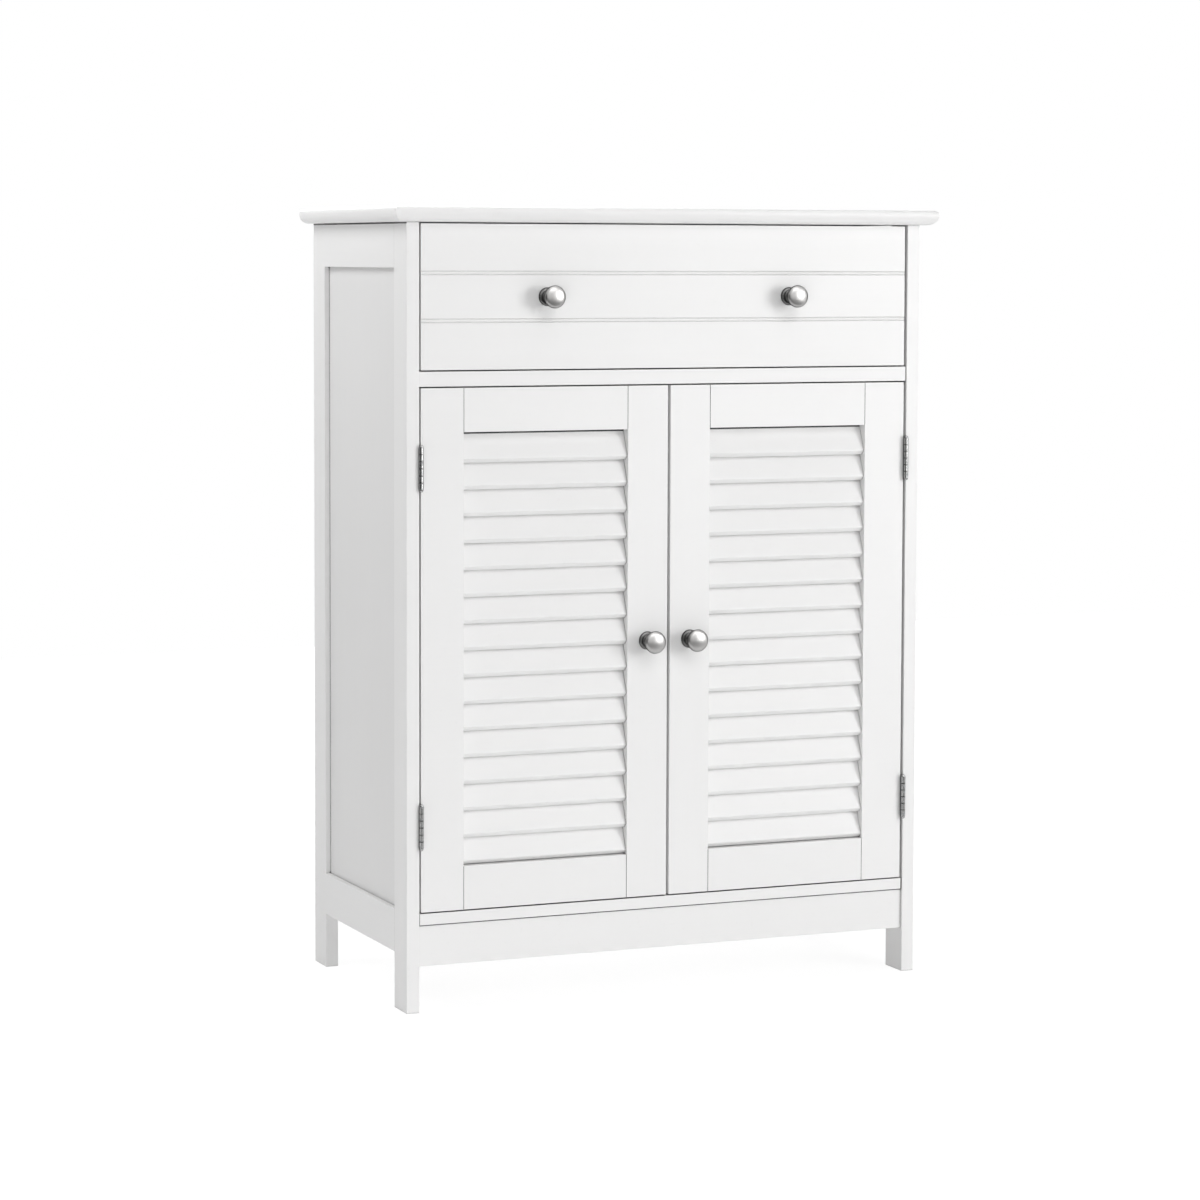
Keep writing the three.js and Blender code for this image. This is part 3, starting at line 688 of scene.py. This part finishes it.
def replace_knobs():
    """Finer knobs in place of the frame's, each with its foot on the wood."""
    mesh = knob_mesh()
    knobs = {f"drawer_{side}_knob": "drawer" for side in SIDES}
    knobs |= {f"{side}_door_knob": f"{side}_door" for side in SIDES}
    for node, body in knobs.items():
        low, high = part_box(node)
        foot = Vector(((low.x + high.x) / 2, high.y, (low.z + high.z) / 2))
        knob = add_piece(f"{node}_turned", mesh, "nickel", body, foot)
        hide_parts(node)


# Screws and nails

# Millimetres: rings of radius and height over the surface, then a cross's reach, half width, depth
SCREWS = {
    "countersunk": ([(1.3, -0.75), (2.45, -0.08), (2.3, 0.02)], (1.45, 0.4, 0.6)),
    "flush": ([(2.2, -0.3), (2.45, 0.06), (2.3, 0.12)], (1.45, 0.4, 0.35)),
    "pan": ([(4.1, 0), (4.1, 0.8), (3.6, 1.7), (2.4, 2.3)], (1.9, 0.5, 1.3)),
    "small_pan": ([(2.4, 0), (2.4, 0.6), (2, 1.2), (1.4, 1.5)], (1.1, 0.3, 0.8)),
    "nail": ([(1.9, 0), (1.9, 0.3), (1.3, 0.55), (0.5, 0.6)], None),
}
SCREW_SIDES = 24
CROSS_TAPER = 0.6
TO_FRONT = Vector((0, -1, 0))
TO_REAR = Vector((0, 1, 0))
DOWN = Vector((0, 0, -1))

HINGE_LEVELS = ("upper", "lower")
# Which way a leaf's screws face: -1 towards the middle of the cabinet, 1 away from it
LEAVES = {"frame_leaf": -1, "door_leaf": 1}
LEAF_SCREW_INSET = 6 * MM
LEAF_SCREW_SPREAD = 12 * MM
LEAF_FACE_OFFSET = 0.4 * MM
KNOB_SCREW_SEATS = {f"{side}_door_knob": f"{side}_door_meeting_stile" for side in SIDES}
KNOB_SCREW_SEATS |= {f"drawer_{side}_knob": "drawer_front" for side in SIDES}
RUNNER_SCREW_INSET = 8 * MM
CATCH_SCREW_INSET = 3 * MM
NAIL_COLUMNS = tuple(column * MM for column in (-240, -120, 0, 120, 240))


def cross_outline(reach, half):
    """The corners of a cross, in order round it."""
    arm = [(reach, -half), (reach, half), (half, half)]
    turns = ((1, 0), (0, 1), (-1, 0), (0, -1))
    return [(x * c - z * s, x * s + z * c) for c, s in turns for x, z in arm]


def screw_mesh(kind):
    """A closed head about Y with its face to the front, and a cross sunk into it."""
    rings, cross = SCREWS[kind]
    angles = [math.tau * side / SCREW_SIDES for side in range(SCREW_SIDES)]
    outlines = [([(r * math.cos(a), r * math.sin(a)) for a in angles], out) for r, out in rings]
    if cross:
        reach, half, depth = cross
        top = rings[-1][1]
        outlines.append((cross_outline(reach, half), top))
        outlines.append((cross_outline(reach * CROSS_TAPER, half * CROSS_TAPER), top - depth))
    form = bmesh.new()
    loops = []
    for outline, out in outlines:
        ring = [form.verts.new((x * MM, -out * MM, z * MM)) for x, z in outline]
        loops.append([form.edges.new(pair) for pair in zip(ring, ring[1:] + ring[:1])])
        if len(loops) in (1, len(outlines)):
            form.faces.new(ring)
    for low, high in zip(loops, loops[1:]):
        bmesh.ops.bridge_loops(form, edges=low + high)
    bmesh.ops.recalc_face_normals(form, faces=form.faces)
    mesh = bpy.data.meshes.new(kind)
    form.to_mesh(mesh)
    form.free()
    return mesh


def middle_of(node):
    """The middle of a piece's box."""
    low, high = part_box(node)
    return (low + high) / 2


def rear_of(node, seat=None):
    """The middle of a piece, brought to the rear face of its seat or of the piece itself."""
    place = middle_of(node)
    place.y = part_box(seat or node)[1].y
    return place


def leaf_screws():
    """Two screws in each hinge leaf, whose heads face across the gap."""
    for side, level, leaf in product(SIDES, HINGE_LEVELS, LEAVES):
        node = f"{side}_{level}_hinge_{leaf}"
        facing = Vector((SIDES[side] * LEAVES[leaf], 0, 0))
        body = "carcass" if leaf == "frame_leaf" else f"{side}_door"
        face = middle_of(node) - facing * LEAF_FACE_OFFSET
        face.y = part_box(node)[1].y - LEAF_SCREW_INSET
        for end in (-1, 1):
            place = face + Vector((0, 0, end * LEAF_SCREW_SPREAD))
            yield node, place, facing, "countersunk", body


def inner_screws():
    """The screws of the knobs, strike plates, catch and runners, and the nails of the back."""
    for knob, seat in KNOB_SCREW_SEATS.items():
        body = "drawer" if "drawer" in knob else knob.removesuffix("_knob")
        yield knob, rear_of(knob, seat), TO_REAR, "pan", body
    catch_low, catch_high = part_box("magnetic_catch")
    for side, sign in SIDES.items():
        plate = f"{side}_door_strike_plate"
        yield plate, rear_of(plate), TO_REAR, "flush", f"{side}_door"
        runner = f"{side}_drawer_runner"
        low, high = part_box(runner)
        face = high.x if sign < 0 else low.x
        for depth in (low.y + RUNNER_SCREW_INSET, high.y - RUNNER_SCREW_INSET):
            place = Vector((face, depth, middle_of(runner).z))
            yield runner, place, Vector((-sign, 0, 0)), "flush", "carcass"
        out = sign * (catch_high.x - CATCH_SCREW_INSET)
        place = Vector((out, middle_of("magnetic_catch").y, catch_low.z))
        yield f"{side}_catch", place, DOWN, "small_pan", "carcass"
    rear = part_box("back_panel")[1].y
    for board, column in product(("bottom_board", "divider_board"), NAIL_COLUMNS):
        place = Vector((column, rear, middle_of(board).z))
        yield f"{board}_nail", place, TO_REAR, "nail", "carcass"


def add_screws():
    """All screws and nails, numbered in the order of their lists."""
    meshes = {kind: screw_mesh(kind) for kind in SCREWS}
    screws = [*leaf_screws(), *inner_screws()]
    for number, (node, place, facing, kind, body) in enumerate(screws):
        name = f"{node}_{kind}_{number}"
        turn = TO_FRONT.rotation_difference(facing).to_matrix()
        screw = add_piece(name, meshes[kind], "steel", body, place, turn)
        ease_edges(screw, 0)


# Floor and background

WHITE = rgb(1)
FLOOR_WIDTH = 6.0
FLOOR_TONE = rgb(0.8)
FLOOR_BOUNCE = 0.17
# Where the floor is seen: its shadow's tone, and its glow at shares of the way to its edge
FLOOR_SHADOW_TONE = rgb(0.2)
FLOOR_GLOW = ((0.15, 0.88), (0.4, 1))
AMBIENT = 0.13


def background_shows(tree):
    """1 where a camera, mirror or glass ray arrives."""
    kinds = ("Is Camera Ray", "Is Glossy Ray", "Is Transmission Ray")
    camera, mirror, glass = (tree.node("ShaderNodeLightPath", output=kind) for kind in kinds)
    return camera.or_larger(mirror).or_larger(glass)


def flat_mesh(name, width, height, material):
    """A rectangle about its own middle, facing up."""
    corners = ((-1, -1), (1, -1), (1, 1), (-1, 1))
    mesh = bpy.data.meshes.new(name)
    mesh.from_pydata([(x * width / 2, y * height / 2, 0) for x, y in corners], [], [(0, 1, 2, 3)])
    mesh.materials.append(material)
    return mesh


def floor_material():
    """Pale for the light it returns. Where it is seen it is nearly white with a soft shadow."""
    material = bpy.data.materials.new("pale_floor")
    tree = Tree(material)
    pale = tree.node("ShaderNodeBsdfDiffuse", sockets={"Color": FLOOR_TONE})
    bounce = tree.node("ShaderNodeEmission", sockets={"Color": WHITE, "Strength": FLOOR_BOUNCE})
    lit = tree.node("ShaderNodeAddShader", sockets={0: pale, 1: bounce})
    faint = tree.node("ShaderNodeBsdfDiffuse", sockets={"Color": FLOOR_SHADOW_TONE})
    reach = tree.node("ShaderNodeVectorMath", {"operation": "LENGTH"}, {0: tree.place()}, "Value")
    level = tree.ramp(reach * (2 / FLOOR_WIDTH), *FLOOR_GLOW)
    glow = tree.node("ShaderNodeEmission", sockets={"Color": level, "Strength": 1})
    bright = tree.node("ShaderNodeAddShader", sockets={0: faint, 1: glow})
    sockets = {0: background_shows(tree), 1: lit, 2: bright}
    seen = tree.node("ShaderNodeMixShader", sockets=sockets)
    tree.node("ShaderNodeOutputMaterial", sockets={"Surface": seen})
    return material


def add_floor():
    """A floor that reaches well past the cabinet on all sides."""
    floor = add_object("floor", flat_mesh("floor", FLOOR_WIDTH, FLOOR_WIDTH, floor_material()))


def set_world():
    """White behind the cabinet, and an even grey as the light from all round."""
    world = bpy.data.worlds.new("studio")
    bpy.context.scene.world = world
    tree = Tree(world)
    light = tree.node("ShaderNodeBackground", sockets={"Color": WHITE, "Strength": AMBIENT})
    white = tree.node("ShaderNodeBackground", sockets={"Color": WHITE, "Strength": 1})
    sockets = {0: background_shows(tree), 1: light, 2: white}
    seen = tree.node("ShaderNodeMixShader", sockets=sockets)
    tree.node("ShaderNodeOutputWorld", sockets={"Surface": seen})


# Lamps and cards

AIM = Vector((0, 0, 0.4))
# Name, place, width, height and watts of each lamp, and whether shiny surfaces mirror it
LAMPS = (
    ("key_softbox", (1.75, -2.6, 0.95), 1.3, 1.3, 34.5, True),
    ("front_softbox", (0.5, -6.0, 5.0), 4.5, 3.0, 119, True),
    ("left_front_softbox", (-1.9, -2.8, 0.42), 1.4, 0.7, 12.3, False),
    ("high_left_softbox", (-1.3, 0.25, 1.7), 0.8, 0.8, 9.8, False),
    ("near_left_softbox", (-0.75, 0.1, 1.2), 0.4, 0.4, 1.0, False),
    ("top_softbox", (0.0, -0.3, 2.6), 1.6, 1.6, 10, True),
    ("rear_softbox", (0.6, 3.4, 2.0), 1.8, 1.8, 55, True),
)
# Name, middle, facing, width, height and tone of each card, which shows only in shiny surfaces
CARDS = (
    ("left_card", (-1.6, -0.5, 0.6), (1, 0, 0), 2.6, 1.5, 0.03),
    ("right_card", (2.2, 0.5, 0.7), (-1, 0, 0), 2.4, 1.6, 0.06),
    ("low_card", (-0.9, -2.4, 0.02), (0, 0, 1), 5.0, 3.2, 0.2),
)


def add_lamps():
    """Soft rectangular lamps that face the middle of the cabinet."""
    for name, place, width, height, watts, mirrored in LAMPS:
        data = bpy.data.lights.new(name, "AREA")
        data.shape = "RECTANGLE"
        data.size = width
        data.size_y = height
        data.energy = watts
        lamp = add_object(name, data)
        lamp.location = place
        lamp.rotation_euler = (AIM - Vector(place)).to_track_quat("-Z", "Y").to_euler()
        lamp.visible_camera = False
        lamp.visible_glossy = mirrored


def card_material(name, tone):
    """A grey that no lamp changes."""
    material = bpy.data.materials.new(name)
    tree = Tree(material)
    grey = tree.node("ShaderNodeEmission", sockets={"Color": rgb(tone), "Strength": 1})
    tree.node("ShaderNodeOutputMaterial", sockets={"Surface": grey})
    return material


def add_cards():
    """Dark cards give the metal something to mirror besides the white background."""
    for name, middle, facing, width, height, tone in CARDS:
        card = add_object(name, flat_mesh(name, width, height, card_material(name, tone)))
        card.location = middle
        card.rotation_euler = Vector(facing).to_track_quat("Z", "Y").to_euler()
        card.visible_camera = card.visible_diffuse = card.visible_shadow = False
        card.visible_transmission = card.visible_volume_scatter = False


# Camera

CAMERA_PLACE = (-1.453975, -3.35741, 0.753119)
# Yaw, pitch and roll
CAMERA_ANGLES = tuple(math.radians(angle) for angle in (23.1142, -3.8825, 0.1777))
CAMERA_LENS = 104.7706
CAMERA_SHIFT = -0.09
SENSOR_WIDTH = 36


def add_camera():
    """The photograph's point of view, from a place and angles that were fitted to it."""
    yaw, pitch, roll = CAMERA_ANGLES
    flat = math.cos(pitch)
    ahead = Vector((math.sin(yaw) * flat, math.cos(yaw) * flat, math.sin(pitch)))
    level = Vector((math.cos(yaw), -math.sin(yaw), 0))
    above = level.cross(ahead)
    right = level * math.cos(roll) + above * math.sin(roll)
    up = above * math.cos(roll) - level * math.sin(roll)
    camera = add_object("camera", bpy.data.cameras.new("camera"))
    turn = Matrix((right, up, -ahead)).transposed().to_4x4()
    camera.matrix_world = Matrix.Translation(CAMERA_PLACE) @ turn
    camera.data.sensor_width = SENSOR_WIDTH
    camera.data.lens = CAMERA_LENS
    camera.data.shift_y = CAMERA_SHIFT
    bpy.context.scene.camera = camera


add_camera()
dress_carried_pieces()
replace_knobs()
add_screws()
add_floor()
set_world()
add_lamps()
add_cards()

bpy.context.scene.view_settings.view_transform = "Standard"
